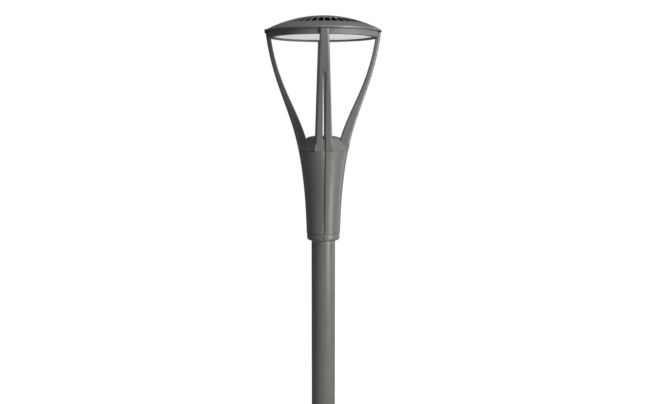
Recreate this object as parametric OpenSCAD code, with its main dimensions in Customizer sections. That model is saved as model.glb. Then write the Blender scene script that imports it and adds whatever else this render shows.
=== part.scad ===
// Street lamp post: a steel tube pole on a base plate, with a four-arm post-top LED luminaire.
// +Z is up, the ground is z = 0, and the front arm points along -Y.

/* [Pole] */
// Height of the pole's top face above the ground
pole_h = 3000; // [2400:50:4000]
// Outer diameter of the pole tube
pole_d = 114.3; // [105:0.1:127]
// Wall of the pole tube
pole_wall = 3.6; // [3:0.1:6]
// Outer diameter of the spigot that the luminaire slips over
spigot_d = 76; // [60:0.5:78]
// Wall of the spigot
spigot_wall = 3.2; // [3:0.1:6]
// Length of the spigot above the pole's top
spigot_h = 95; // [70:1:110]
// Thickness of the flange at the pole's top
flange_t = 14; // [8:1:20]

/* [Base plate] */
// Side of the square base plate
plate_w = 300; // [280:5:400]
// Thickness of the base plate
plate_t = 20; // [12:1:30]
// Distance between anchor holes
anchor_pitch = 200; // [190:5:230]
// Diameter of an anchor hole
anchor_d = 22; // [18:1:30]
// Diameter of the cable hole in the plate
cable_hole_d = 60; // [40:1:90]
// Leg of the weld bead at the pole's foot
weld_leg = 7; // [4:0.5:12]

/* [Pole door] */
// Width of the door opening
door_w = 75; // [65:1:80]
// Height of the door opening
door_h = 320; // [290:5:400]
// Lower edge of the door opening above the ground
door_z = 520; // [400:10:700]
// Corner radius of the door opening
door_corner = 12; // [6:1:20]
// Gap round the closed door
door_gap = 0.8; // [0.5:0.1:1.5]
// Radius of a door hinge barrel
door_barrel_r = 4; // [3.5:0.1:5]
// Radius of a door hinge pin
door_pin_r = 2; // [1.5:0.1:2.5]
// Length of the lock's cam
cam_len = 28; // [24:1:30]

/* [Housing] */
// Radius of the collar ring
collar_r = 78.5; // [72:0.5:88]
// Height of the collar ring
collar_h = 34; // [30:1:45]
// Radius of the collar's rounded lower edge
collar_round = 9; // [3:0.5:14]
// Radius of the conical housing at its lower end
cone_r0 = 80.5; // [78:0.5:92]
// Even part of the housing's widening
cone_even = 14; // [8:0.5:20]
// Part of the housing's widening that gathers near its top
cone_flare = 24; // [16:0.5:32]
// Height of the conical housing
cone_h = 395; // [370:5:480]
// Wall of a housing panel
panel_wall = 3; // [2:0.1:5]
// Width of the groove between two panels
groove_w = 13; // [11:0.5:18]
// Depth of the groove between two panels
groove_depth = 5; // [3:0.5:8]
// Width of the joint lines of the housing
joint_gap = 1; // [0.5:0.1:2]

/* [Arms] */
// Height of an arm from its foot to its tip
arm_h = 552; // [460:2:680]
// Distance from the pole's axis to an arm's outer tip
arm_tip_r = 271.5; // [262:0.5:330]
// Thickness of an arm at its tip, measured outward
arm_tip_t = 23.5; // [20:0.5:30]
// Thickness of an arm at its foot, measured outward
arm_foot_t = 50; // [44:0.5:56]
// Width of an arm at its tip
arm_tip_w = 41; // [34:0.5:52]
// Width of an arm where it leaves the shoulder
arm_low_w = 76; // [68:0.5:80]
// Width of an arm at its foot
arm_foot_w = 88; // [82:0.5:92]
// Width of the slot in an arm
slot_w = 10; // [8:0.5:16]
// Lower end of the slot above the arm's foot
slot_z0 = 55; // [48:1:80]
// Upper end of the slot above the arm's foot
slot_z1 = 364; // [280:1:400]
// Height of the rounded shoulder between the arm feet
shoulder_h = 71; // [60:1:80]

/* [Head] */
// Outer radius of the rim band
rim_r = 259; // [250:0.5:310]
// Height of the rim band
rim_h = 31; // [28:0.5:40]
// Wall of the rim band
rim_wall = 4; // [3:0.5:6]
// Width of the lip that carries the lens, measured from the band's outside
lip_w = 23; // [21:0.5:30]
// Thickness of the lip that carries the lens
lip_t = 8; // [6:0.5:10]
// Thickness of the lens
lens_t = 3; // [2:0.5:5]
// Rings of light sources
led_rings = 3; // [1:1:3]
// Light sources in the innermost ring
led_first = 8; // [6:1:10]
// Distance between rings of light sources
led_pitch = 60; // [50:1:64]
// Fins on the heat sink
fins = 40; // [20:1:48]
// Thickness of a fin
fin_t = 2.4; // [1.5:0.1:4]

/* [Canopy] */
// How far the canopy's edge stands out past the rim band
canopy_over = 16; // [15:0.5:20]
// Rise of the dome above the rim band
dome_h = 72; // [62:1:95]
// Wall of the canopy
canopy_wall = 3; // [2:0.1:4]
// Vent slots in the canopy
vents = 40; // [20:1:44]
// Inner end of a vent slot, from the axis
vent_r0 = 148; // [120:1:170]
// Outer end of a vent slot, from the axis
vent_r1 = 217; // [190:1:235]
// Width of the bar between two vent slots
vent_bar = 8; // [5:0.5:11]
// Radius of the canopy's hinge barrel
barrel_r = 8.5; // [7.5:0.1:9]
// Radius of the canopy's hinge pin
pin_r = 2.5; // [2:0.1:3]

/* [Fits] */
// Radial clearance of a pin or barrel that turns
run_fit = 0.05; // [0.02:0.01:0.1]
// Radial clearance round a fixed screw or in a slip fit
slip_fit = 0.15; // [0.1:0.01:0.3]
// Gap between pieces that sit against each other
seat_gap = 0.3; // [0.2:0.05:0.5]

/* [Hidden] */
$fn = 96;
far = 2000;
pole_r = pole_d / 2;
pole_in_r = pole_r - pole_wall;
spigot_r = spigot_d / 2;
tube_top = pole_h - flange_t;

// Pole door, seen from its own side: the door faces +X here and is turned to +Y when placed
door_turn = 90;
door_top = door_z + door_h;
base_top = door_top + 160;
door_axis_r = pole_r + door_barrel_r + 0.25;
door_axis_a = asin(door_w / 2 / pole_r) + 0.5;
knuckle_h = 14;
hinge_zs = [door_z + 50, door_top - 50];
lock_z = door_top - 20;
lock_r = 8;
cam_x0 = pole_in_r - 18;
cam_t = 3;
frame_t = 3.25;
frame_in = pole_in_r - seat_gap - frame_t;

// Equipment in the pole's foot
box_h = 150;
box_z = door_z + 80;
box_y = 25;
rail_y = -19;
rail_t = 4;
cable_y = 18;
pole_cable_r = 5;
toggle_z = box_z + 75;

// Luminaire heights are above the pole's top
socket_t = 8;
socket_r = spigot_r + slip_fit;
socket_out = socket_r + socket_t;
socket_h = spigot_h + 9;
disc_t = 8;
top_disc_t = 12;
cone_z0 = collar_h + joint_gap;
cone_z1 = cone_z0 + cone_h;
foot_z = cone_z1 + joint_gap;
foot_r = cone_r0 + cone_even + cone_flare - 0.2;
rib_t = groove_w - 1;
rib_in = 60;
disc_r = cone_r0 - groove_depth - 5;
top_disc_r = foot_r - 12;
top_disc_z = foot_z - top_disc_t;
lug_n = top_disc_r - 9;
grub_z = 18;
grub_r = 4;
grub_angles = [-90, 30, 150];

// Gear door at 45 degrees: its hinge lies outside the housing's lower edge
gear_turn = 45;
gear_axis_n = cone_r0 + 3.5;
gear_axis_z = collar_h;
gear_barrel_r = 3.5;
gear_pin_r = 1.5;
gear_lock_z = top_disc_z - 22;
gear_lock_r = 7;
keeper_n0 = top_disc_r - 18;
keeper_n1 = top_disc_r - 5.5;
keeper_w = 24;
keeper_bore_r = 4.4;
nose_r = 2.5;
nose_reach = 5;

// Gear tray and what it carries
tray_t = 3;
tray_x = rib_in + 12;
tray_z0 = socket_h + 24;
tray_z1 = top_disc_z - 9;
tray_y = rib_t / 2;
driver_z0 = tray_z0 + 22;
driver_h = 170;

// Arms
tip_z = foot_z + arm_h;
arm_in_foot = foot_r - arm_foot_t;
arm_in_tip = arm_tip_r - arm_tip_t;
tip_lift = 242;
foot_lift = 193;
low_w_z = foot_z + 76;
bolt_s = 31;
bolt_r = 92;
m8_r = 4;
hub_bolt_r = 78;

// Head
rim_top = tip_z + 8;
rim_z = rim_top - rim_h;
rim_in = rim_r - rim_wall;
lip_in = rim_r - lip_w;
lip_top = rim_z + lip_t;
lens_z = lip_top + 1;
lens_r = rim_r - 16.5;
clamp_top = lens_z + lens_t + 2;
boss_at = rim_r - 9.5;
boss_r = 6;
boss_angles = [for (i = [0:7]) 33.75 + 45 * i];
clamp_angles = [for (i = [0:7]) 11.25 + 45 * i];
clamp_at = rim_r - 10.1;
sink_z = rim_top + 1;
sink_t = 4;
board_t = 1.6;
board_r = lip_in - 21;
board_z = lens_z + lens_t + 12;
chip_t = 1.2;
fin_r0 = 58;
fin_r1 = vent_r1 + 15;
tip_bolt_z = tip_z - 4;
tip_bolt_s = 12;

// Canopy
canopy_r = rim_r + canopy_over;
canopy_z = rim_top + 1.5;
dome_top = rim_top + dome_h;
edge_t = 1.6;
edge_z = canopy_z + edge_t;
dome_rise = dome_top - edge_z;
dome_r = (canopy_r * canopy_r + dome_rise * dome_rise) / 2 / dome_rise;
dome_z = dome_top - dome_r;
sink_gap = canopy_wall + 4;
side_r = canopy_r + 2.5;
hinge_x = side_r - barrel_r;
hinge_z = tip_z + barrel_r + 1;
knuckle_y = 8;
knuckle_t = 6.2;
notch_x = rim_r - 1;
notch_y = knuckle_y + knuckle_t + 1.8;
leaf_t = 1.8;
lock_x = rim_r + 7;
head_r = 4.6;
head_z = canopy_z - 2;
tab_t = 3.5;
tab_w = 18;
dome_steps = 16;
crown_r = 4;

// Head cable, from the driver up the rear arm: points are [outward, sideways, up]
cable_r = 3;
channel_r = 3.7;
bend_swell = 0.1;
cable_s = 15;
cable_n = (arm_in_foot + foot_r) / 2;
pass_z = tip_z - 5.5;
pass_r = rim_r + 4.2;

// Radius of the conical housing at a height above the pole's top
function cone_r(z) = let (t = (z - cone_z0) / cone_h) cone_r0 + cone_even * t + cone_flare * pow(t, 2.6);

// Point on a cubic curve through four control points
function curve(p, t) = pow(1 - t, 3) * p[0] + 3 * pow(1 - t, 2) * t * p[1]
    + 3 * (1 - t) * t * t * p[2] + pow(t, 3) * p[3];

arm_outer = [[foot_r, foot_z], [foot_r + 35, foot_z + foot_lift],
    [arm_tip_r - 31.5, tip_z - tip_lift], [arm_tip_r, tip_z]];
arm_inner = [[arm_in_foot, foot_z], [arm_in_foot + 38, foot_z + foot_lift - 6],
    [arm_in_tip - 36, tip_z - 15 - tip_lift - 12], [arm_in_tip, tip_z - 15]];
function arm_mid(t) = (curve(arm_outer, t) + curve(arm_inner, t)) / 2;

arm_route = concat(
    [for (t = [0:0.15:0.75]) [arm_mid(t)[0], cable_s, arm_mid(t)[1]]],
    [[arm_mid(0.85)[0], cable_s / 2, arm_mid(0.85)[1]], [arm_mid(0.93)[0], 0, arm_mid(0.93)[1]],
    [pass_r - 0.8, 0, rim_z - 1], [pass_r, 0, rim_z + 12], [pass_r, 0, pass_z], [rim_in - 2, 0, pass_z]]);
cable_route = concat(
    [[22, 0, driver_z0 + driver_h], [22, 0, driver_z0 + driver_h + 45],
    [50, cable_s, top_disc_z - 32], [cable_n, cable_s, top_disc_z - 12]],
    arm_route,
    [[lip_in + 4, 0, sink_z - 6], [board_r + 16, 0, sink_z - 4], [board_r + 11.3, 0, sink_z - 4]]);

module ring(r_out, r_in, h) {
    difference() {
        cylinder(r = r_out, h = h);
        translate([0, 0, -1]) cylinder(r = r_in, h = h + 2);
    }
}

module round_plate(w, d, h, r) {
    translate([-w / 2 + r, -d / 2, 0]) cube([w - 2 * r, d, h]);
    translate([-w / 2, -d / 2 + r, 0]) cube([w, d - 2 * r, h]);
    for (x = [-1, 1], y = [-1, 1]) {
        translate([x * (w / 2 - r), y * (d / 2 - r), 0]) cylinder(r = r, h = h);
    }
}

// Cylinder from the point at distance r0 along +X, reaching outward by len
module outward(r, r0, len) {
    translate([r0, 0, 0]) rotate([0, 90, 0]) cylinder(r = r, h = len);
}

module rod(a, b, r) {
    v = b - a;
    translate(a) rotate([0, acos(v[2] / norm(v)), atan2(v[1], v[0])]) cylinder(r = r, h = norm(v));
}

// Round rod along a route; each bend is a ball a little larger than the rod
module bent_rod(pts, r) {
    for (i = [1:len(pts) - 1]) {
        rod(pts[i - 1], pts[i], r);
    }
    for (i = [1:len(pts) - 2]) {
        translate(pts[i]) sphere(r = r + bend_swell, $fn = 48);
    }
}

function unit(v) = v / norm(v);

// Height of the dome's surface at a distance from the axis, below its outside by inset
function dome_at(r, inset) = dome_z + sqrt(pow(dome_r - inset, 2) - r * r);

// Direction of a route at one of its points, half way between the stretches that meet there
function heading(p, i) = unit((i < len(p) - 1 ? unit(p[i + 1] - p[i]) : [0, 0, 0])
    + (i > 0 ? unit(p[i] - p[i - 1]) : [0, 0, 0]));

function cable_ring(p, i, r, sides) = let (
        t = heading(p, i),
        u = unit(cross(t, [0, 1, 0])),
        v = cross(t, u))
    [for (k = [0:sides - 1]) p[i] + r * cos(k * 360 / sides) * u + r * sin(k * 360 / sides) * v];

// Round cable along a route
module cable_tube(pts, r, sides) {
    last = (len(pts) - 1) * sides;
    polyhedron(
        points = [for (i = [0:len(pts) - 1]) each cable_ring(pts, i, r, sides)],
        faces = concat(
            [[for (k = [0:sides - 1]) k]],
            [for (i = [0:len(pts) - 2], k = [0:sides - 1]) let (a = i * sides, j = (k + 1) % sides)
                [a + j, a + k, a + sides + k, a + sides + j]],
            [[for (k = [sides - 1:-1:0]) last + k]]));
}

module screw(head_r, head_h, shank_r, shank_len) {
    cylinder(r = head_r, h = head_h);
    translate([0, 0, -shank_len]) cylinder(r = shank_r, h = shank_len + 0.5);
}

module up() {
    translate([0, 0, pole_h]) children();
}

// ---- Pole ----

module base_plate() {
    color("dimgray") difference() {
        round_plate(plate_w, plate_w, plate_t, 15);
        translate([0, 0, -1]) cylinder(d = cable_hole_d, h = plate_t + 2);
        for (x = [-1, 1], y = [-1, 1]) {
            translate([x * anchor_pitch / 2, y * anchor_pitch / 2, -1])
                cylinder(d = anchor_d, h = plate_t + 2);
        }
    }
}

module foot_weld() {
    color("gray") translate([0, 0, plate_t]) rotate_extrude()
        polygon([[pole_r, 0], [pole_r + weld_leg, 0], [pole_r, weld_leg]]);
}

// Outline of the door opening, swept outward through the tube's wall
module door_shape(shrink) {
    w = door_w - 2 * shrink;
    h = door_h - 2 * shrink;
    r = door_corner - min(shrink, door_corner - 3);
    translate([10, 0, door_z + door_h / 2]) rotate([90, 0, 90]) round_plate(w, h, pole_r + 40, r);
}

// Lower length of the pole, with the door opening
module pole_base() {
    color("darkgray") difference() {
        translate([0, 0, plate_t]) ring(pole_r, pole_in_r, base_top - plate_t);
        rotate(door_turn) door_shape(0);
    }
}

module pole_tube() {
    color("darkgray") translate([0, 0, base_top]) ring(pole_r, pole_in_r, tube_top - base_top);
}

module spigot_adaptor() {
    color("darkgray") translate([0, 0, tube_top]) difference() {
        union() {
            translate([0, 0, -10]) cylinder(r = pole_in_r - slip_fit, h = 11);
            cylinder(r = pole_r, h = flange_t);
            cylinder(r = spigot_r, h = flange_t + spigot_h);
        }
        translate([0, 0, -11]) cylinder(r = spigot_r - spigot_wall, h = flange_t + spigot_h + 12);
    }
}

module door_frame() {
    color("gray") rotate(door_turn) {
        difference() {
            intersection() {
                translate([0, 0, door_z - 12]) ring(frame_in + frame_t, frame_in, door_h + 24);
                door_shape(-8);
            }
            door_shape(6);
        }
        intersection() {
            translate([cam_x0 + cam_t + seat_gap, -8, door_top + 1]) cube([40, 16, 7]);
            cylinder(r = frame_in + 1, h = far);
        }
    }
}

module door_hinge_line() {
    rotate(door_turn + door_axis_a) translate([door_axis_r, 0, 0]) children();
}

module pole_door() {
    color("darkgray") {
        difference() {
            rotate(door_turn) {
                intersection() {
                    translate([0, 0, door_z]) ring(pole_r, pole_in_r, door_h);
                    door_shape(door_gap);
                }
                translate([0, 0, lock_z])
                    outward(lock_r + 4, cam_x0 + cam_t + 0.5, pole_in_r - cam_x0 - cam_t);
            }
            rotate(door_turn) translate([0, 0, lock_z]) outward(lock_r + run_fit, cam_x0, far);
        }
        for (z = hinge_zs) {
            difference() {
                door_hinge_line() translate([0, 0, z]) {
                    cylinder(r = door_barrel_r, h = knuckle_h);
                    translate([-door_barrel_r - 1.5, -11, 0]) cube([door_barrel_r + 1.5, 11, knuckle_h]);
                }
                cylinder(r = pole_r - 1.2, h = far);
                door_hinge_line() translate([0, 0, z - 1])
                    cylinder(r = door_pin_r + run_fit, h = knuckle_h + 2);
                difference() {
                    cylinder(r = pole_r + 0.25, h = far);
                    rotate(door_turn) door_shape(door_gap);
                }
            }
        }
    }
}

module door_hinge_knuckles() {
    color("gray") for (z = hinge_zs, k = [-1, 1]) {
        difference() {
            door_hinge_line() translate([0, 0, z + k * (knuckle_h + 0.4)]) {
                cylinder(r = door_barrel_r, h = knuckle_h);
                translate([-door_barrel_r - 1.5, 0, 0]) cube([door_barrel_r + 1.5, 11, knuckle_h]);
            }
            cylinder(r = pole_r, h = far);
            door_hinge_line() cylinder(r = door_pin_r + run_fit, h = far);
        }
    }
}

module door_hinge_pins() {
    color("silver") for (z = hinge_zs) {
        door_hinge_line() translate([0, 0, z - knuckle_h - 1]) {
            cylinder(r = door_pin_r, h = 3 * knuckle_h + 2);
            translate([0, 0, 3 * knuckle_h + 1.6]) cylinder(r = door_pin_r + 1.2, h = 1.5);
        }
    }
}

module pole_door_lock() {
    color("silver") rotate(door_turn) translate([0, 0, lock_z]) {
        difference() {
            outward(lock_r, cam_x0 + cam_t - 0.5, pole_r - cam_x0 - cam_t + 0.7);
            translate([pole_r - 5, 0, 0]) rotate([0, 90, 0]) cylinder(r = 5, h = 9, $fn = 3);
        }
        outward(5, cam_x0, cam_t);
        translate([cam_x0, -5, -cam_len]) cube([cam_t, 10, cam_len]);
    }
}

module equipment_rail() {
    color("silver") {
        translate([-18, rail_y, door_z - 10]) cube([36, rail_t, door_h + 20]);
        for (z = [door_z + 2, door_top - 22]) {
            translate([-8, -pole_in_r + 1, z]) cube([16, pole_in_r - 1 + rail_y + 1, 20]);
        }
    }
}

module fuse_box() {
    color("lightgray") difference() {
        translate([-30, rail_y + rail_t, box_z]) cube([60, box_y - rail_y - rail_t, box_h]);
        translate([-5, box_y - 6, toggle_z - 11]) cube([10, 7, 22]);
    }
}

module breaker() {
    color("white") difference() {
        translate([-9, box_y, toggle_z - 25]) cube([18, 6, 50]);
        translate([-5, box_y - 1, toggle_z - 11]) cube([10, 8, 22]);
    }
}

module breaker_toggle() {
    color("black") translate([0, box_y + 2, toggle_z]) rotate([20, 0, 0]) {
        rotate([0, 90, 0]) cylinder(r = 4, h = 9, center = true);
        translate([-4.5, 0, -2]) cube([9, 13, 4]);
    }
}

module terminal_block() {
    color("white") difference() {
        translate([-22, rail_y + rail_t, door_z + 20]) cube([44, 24, 45]);
        for (x = [-15:10:15]) {
            translate([x, rail_y + rail_t + 25, door_z + 42]) rotate([90, 0, 0]) cylinder(r = 3, h = 9);
        }
    }
}

module earth_stud() {
    color("gold") translate([0, rail_y + rail_t, door_top - 50]) rotate([-90, 0, 0]) {
        cylinder(r = 8, h = 1.6);
        cylinder(r = 6.5, h = 7, $fn = 6);
        cylinder(r = 4, h = 16);
    }
}

module pole_cable() {
    color("black") translate([0, cable_y, box_z + box_h])
        cylinder(r = pole_cable_r, h = pole_h + driver_z0 - box_z - box_h);
}

// ---- Housing ----

module gear_frame() {
    color("silver") up() difference() {
        union() {
            cylinder(r = socket_out, h = socket_h);
            translate([0, 0, collar_h]) cylinder(r = disc_r, h = disc_t);
            translate([0, 0, top_disc_z]) cylinder(r = top_disc_r, h = top_disc_t);
            for (a = [0:90:270]) {
                rotate([90, 0, a]) translate([0, 0, -rib_t / 2]) linear_extrude(rib_t) polygon(concat(
                    [[rib_in, foot_z], [rib_in, collar_h + 1]],
                    [for (i = [0:10]) let (z = cone_z0 + i / 10 * cone_h) [cone_r(z) - groove_depth, z]],
                    [[foot_r - groove_depth, foot_z]]));
            }
        }
        translate([0, 0, -1]) cylinder(r = socket_r, h = socket_h + 2);
        translate([0, 0, top_disc_z - 1]) cylinder(r = 30, h = top_disc_t + 2);
        for (a = grub_angles) {
            rotate(a) translate([0, 0, grub_z]) outward(grub_r + run_fit, 20, 40);
        }
        for (a = [0:90:270]) {
            for (s = [-bolt_s, bolt_s]) {
                rotate(a) translate([bolt_r, s, top_disc_z - 1])
                    cylinder(r = m8_r + slip_fit, h = top_disc_t + 2);
            }
            rotate(a + 45) translate([hub_bolt_r, 0, top_disc_z - 1])
                cylinder(r = m8_r + slip_fit, h = top_disc_t + 2);
        }
        for (a = [135, 225, 315]) {
            rotate(a) translate([lug_n, 0, top_disc_z - 1]) cylinder(r = 2.5 + slip_fit, h = 10);
            rotate(a) translate([disc_r - 8, 0, collar_h + 1]) cylinder(r = 2.5 + slip_fit, h = disc_t);
        }
        for (x = [-tray_x + 5, tray_x - 5], z = [tray_z0 + 15, tray_z1 - 15]) {
            translate([x, -2, z]) rotate([-90, 0, 0]) cylinder(r = 2 + slip_fit, h = 20);
        }
        rotate(90) translate([cable_n, cable_s, top_disc_z - 1]) cylinder(r = channel_r, h = top_disc_t + 2);
    }
}

// Block under the top disc that the gear door's bolt runs into
module gear_keeper() {
    color("silver") up() rotate(gear_turn) difference() {
        translate([keeper_n0, -keeper_w / 2, gear_lock_z - keeper_w / 2])
            cube([keeper_n1 - keeper_n0, keeper_w, top_disc_z - gear_lock_z + keeper_w / 2]);
        translate([0, 0, gear_lock_z]) outward(keeper_bore_r, keeper_n0 - 1, 40);
    }
}

module gear_hinge_line(z) {
    rotate(gear_turn) translate([gear_axis_n, 0, z]) rotate([90, 0, 0]) children();
}

module collar_ring() {
    color("gray") up() {
        difference() {
            rotate_extrude() polygon(concat(
                [[socket_out + slip_fit, 0]],
                [for (a = [0:15:90]) [collar_r - collar_round * (1 - sin(a)), collar_round * (1 - cos(a))]],
                [[collar_r, collar_h], [socket_out + slip_fit, collar_h]]));
            for (a = grub_angles) {
                rotate(a) translate([0, 0, grub_z]) outward(grub_r + 0.5, 40, 60);
            }
        }
        difference() {
            union() {
                for (t = [-24, 14.4]) {
                    rotate(gear_turn) translate([collar_r - 6, t, gear_axis_z - 6])
                        cube([gear_axis_n - collar_r + 6, 9.6, 5.5]);
                    gear_hinge_line(gear_axis_z) translate([0, 0, t]) cylinder(r = gear_barrel_r, h = 9.6);
                }
            }
            gear_hinge_line(gear_axis_z) cylinder(r = gear_pin_r + run_fit, h = 60, center = true);
        }
    }
}

module grub_screws() {
    color("silver") up() for (a = grub_angles) {
        rotate(a) translate([0, 0, grub_z]) difference() {
            outward(grub_r, spigot_r + 0.1, 28);
            translate([spigot_r + 23, 0, 0]) rotate([0, 90, 0]) cylinder(r = 2, h = 9, $fn = 6);
        }
    }
}

// Wall of the conical housing, as thick as asked
module cone_wall(t) {
    rotate_extrude() polygon(concat(
        [for (i = [0:10]) let (z = cone_z0 + i / 10 * cone_h) [cone_r(z), z]],
        [for (i = [10:-1:0]) let (z = cone_z0 + i / 10 * cone_h) [cone_r(z) - t, z]]));
}

module panel_blank() {
    g = groove_w / 2;
    intersection() {
        cone_wall(panel_wall);
        translate([g, g, 0]) cube([300, 300, foot_z]);
    }
    intersection() {
        cone_wall(groove_depth + 4);
        union() {
            translate([g, g, 0]) cube([panel_wall, 300, foot_z]);
            translate([g, g, 0]) cube([300, panel_wall, foot_z]);
        }
    }
}

module fixed_panel(turn) {
    lug_t = 5;
    low_z = collar_h + disc_t + seat_gap;
    top_z = top_disc_z - seat_gap - lug_t;
    color("gray") up() rotate(turn) difference() {
        union() {
            panel_blank();
            rotate(45) translate([lug_n - 7, -15, top_z]) cube([cone_r(top_z) - 1.6 - lug_n + 7, 30, lug_t]);
            rotate(45) translate([disc_r - 16, -15, low_z])
                cube([cone_r(low_z) - 1.6 - disc_r + 16, 30, lug_t]);
        }
        rotate(45) translate([lug_n, 0, top_z - 1]) cylinder(r = 2.5 + slip_fit, h = lug_t + 2);
        rotate(45) translate([disc_r - 8, 0, low_z - 1]) cylinder(r = 2.5 + slip_fit, h = lug_t + 2);
    }
}

module panel_rear_left() {
    fixed_panel(90);
}

module panel_front_left() {
    fixed_panel(180);
}

module panel_front_right() {
    fixed_panel(270);
}

module gear_door() {
    color("gray") up() difference() {
        union() {
            panel_blank();
            intersection() {
                rotate(gear_turn) translate([0, 0, gear_lock_z]) outward(gear_lock_r + 4, keeper_n1 + 1, 40);
                cone_wall(cone_r0);
            }
            gear_hinge_line(gear_axis_z) translate([0, 0, -14]) cylinder(r = gear_barrel_r, h = 28);
            rotate(gear_turn) translate([cone_r0 - 3, -14, cone_z0 + 0.4])
                cube([gear_axis_n - cone_r0 + 3, 28, 3.1]);
        }
        rotate(gear_turn) translate([0, 0, gear_lock_z]) outward(gear_lock_r + run_fit, keeper_n1, 60);
        gear_hinge_line(gear_axis_z) cylinder(r = gear_pin_r + run_fit, h = 60, center = true);
    }
}

module gear_door_pin() {
    color("silver") up() gear_hinge_line(gear_axis_z) {
        cylinder(r = gear_pin_r, h = 49, center = true);
        translate([0, 0, 24.2]) cylinder(r = gear_pin_r + 1, h = 1.5);
    }
}

module gear_door_lock() {
    head_n = cone_r(gear_lock_z) + 2;
    color("silver") up() rotate(gear_turn) translate([0, 0, gear_lock_z]) {
        difference() {
            outward(gear_lock_r, keeper_n1 + 1, head_n - keeper_n1 - 1);
            translate([head_n - 4, 0, 0]) rotate([0, 90, 0]) cylinder(r = 4, h = 9, $fn = 3);
        }
        outward(nose_r, keeper_n1 - nose_reach, nose_reach + 2);
    }
}

module panel_screws() {
    color("silver") up() for (a = [135, 225, 315]) {
        rotate(a) translate([lug_n, 0, top_disc_z - seat_gap - 5]) mirror([0, 0, 1]) screw(4, 3, 2.5, 13);
        rotate(a) translate([disc_r - 8, 0, collar_h + disc_t + seat_gap + 5]) screw(4, 3, 2.5, 12);
    }
}

module gear_tray() {
    color("silver") up() difference() {
        translate([-tray_x, tray_y, tray_z0]) cube([2 * tray_x, tray_t, tray_z1 - tray_z0]);
        for (x = [-tray_x + 5, tray_x - 5], z = [tray_z0 + 15, tray_z1 - 15]) {
            translate([x, tray_y - 1, z]) rotate([-90, 0, 0]) cylinder(r = 2 + slip_fit, h = tray_t + 2);
        }
    }
}

module led_driver() {
    color("white") up() translate([0, tray_y + tray_t, driver_z0]) {
        translate([-30, 0, 0]) cube([60, 35, driver_h]);
        translate([-26, 0, -8]) cube([52, 3, driver_h + 16]);
    }
}

module surge_protector() {
    color("firebrick") up() translate([-25, tray_y - 28, driver_z0 + 50]) cube([50, 28, 70]);
}

module tray_screws() {
    color("silver") up() for (x = [-tray_x + 5, tray_x - 5], z = [tray_z0 + 15, tray_z1 - 15]) {
        translate([x, tray_y + tray_t, z]) rotate([-90, 0, 0]) screw(3.5, 2.5, 2, 10);
    }
}

// ---- Shoulder and arms ----

// An arm without its slot, pointing along +X; grow widens it to cut its pocket
module arm_blank(grow) {
    g = 2 * grow;
    intersection() {
        rotate([90, 0, 0]) linear_extrude(200, center = true) polygon(concat(
            [for (i = [0:14]) curve(arm_inner, i / 14) - [grow, 0]],
            [[arm_in_tip + 2 - grow, tip_z], [arm_tip_r + 60, tip_z], [arm_tip_r + 60, foot_z - grow],
            [arm_in_foot - grow, foot_z - grow]]));
        rotate([90, 0, 90]) linear_extrude(arm_tip_r + 60) polygon([
            [(arm_foot_w + g) / 2, foot_z - 1], [(arm_foot_w + arm_low_w) / 4 - 1 + grow, foot_z + 32],
            [(arm_low_w + g) / 2, low_w_z], [(arm_tip_w + g) / 2, tip_z], [-(arm_tip_w + g) / 2, tip_z],
            [-(arm_low_w + g) / 2, low_w_z], [-(arm_foot_w + arm_low_w) / 4 + 1 - grow, foot_z + 32],
            [-(arm_foot_w + g) / 2, foot_z - 1]]);
    }
}

module arm() {
    low = foot_z + slot_z0 + slot_w / 2;
    high = foot_z + slot_z1 - slot_w / 2;
    difference() {
        intersection() {
            arm_blank(0);
            rotate_extrude() polygon(concat([[0, tip_z], [0, foot_z]],
                [for (i = [0:14]) curve(arm_outer, i / 14)]));
        }
        translate([0, -slot_w / 2, low]) cube([400, slot_w, high - low]);
        for (z = [low, high]) {
            translate([0, 0, z]) outward(slot_w / 2, 0, 400);
        }
        rotate([90, 0, 0]) linear_extrude(groove_w, center = true) polygon(concat(
            [for (i = [0:4]) curve(arm_outer, i / 28) - [groove_depth, i == 0 ? 1 : 0]],
            [[400, curve(arm_outer, 4 / 28)[1]], [400, foot_z - 1]]));
        translate([0, 0, rim_z - 0.2]) cylinder(r = rim_r + 0.2, h = far);
        for (s = [-bolt_s, bolt_s]) {
            translate([bolt_r, s, foot_z - 1]) cylinder(r = 4 + run_fit, h = 26);
        }
        for (s = [-tip_bolt_s, tip_bolt_s]) {
            translate([0, s, tip_bolt_z]) outward(2.5 + run_fit, rim_in, 13.5);
        }
    }
}

module arm_front() {
    color("gray") up() rotate(-90) arm();
}

module arm_right() {
    color("gray") up() arm();
}

module arm_left() {
    color("gray") up() rotate(180) arm();
}

module arm_rear() {
    color("gray") up() rotate(90) difference() {
        arm();
        bent_rod(concat([[cable_n, cable_s, foot_z - 5]], arm_route), channel_r);
    }
}

module hub_casting() {
    steep_r = foot_r - 34;
    steep_z = foot_z + shoulder_h - 16;
    dome = [[steep_r, steep_z], [steep_r - 8, steep_z + 12], [40, foot_z + shoulder_h],
        [0, foot_z + shoulder_h]];
    color("gray") up() difference() {
        rotate_extrude() polygon(concat([[0, foot_z], [foot_r, foot_z], [foot_r, foot_z + 1]],
            [for (i = [0:7]) curve(dome, i / 7)]));
        translate([0, 0, foot_z - 1]) cylinder(r = 50, h = shoulder_h - 21);
        for (a = [0:90:270]) {
            rotate(a) arm_blank(0.2);
            rotate(a + 45) translate([hub_bolt_r, 0, foot_z - 1]) cylinder(r = 4 + run_fit, h = 24);
        }
    }
}

module arm_foot_bolts() {
    color("silver") up() for (a = [0:90:270], s = [-bolt_s, bolt_s]) {
        rotate(a) translate([bolt_r, s, top_disc_z]) mirror([0, 0, 1]) screw(6.5, 8, 4, 36);
    }
}

module hub_bolts() {
    color("silver") up() for (a = [45:90:315]) {
        rotate(a) translate([hub_bolt_r, 0, top_disc_z]) mirror([0, 0, 1]) screw(6.5, 8, 4, 34);
    }
}

// ---- Head ----

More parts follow.
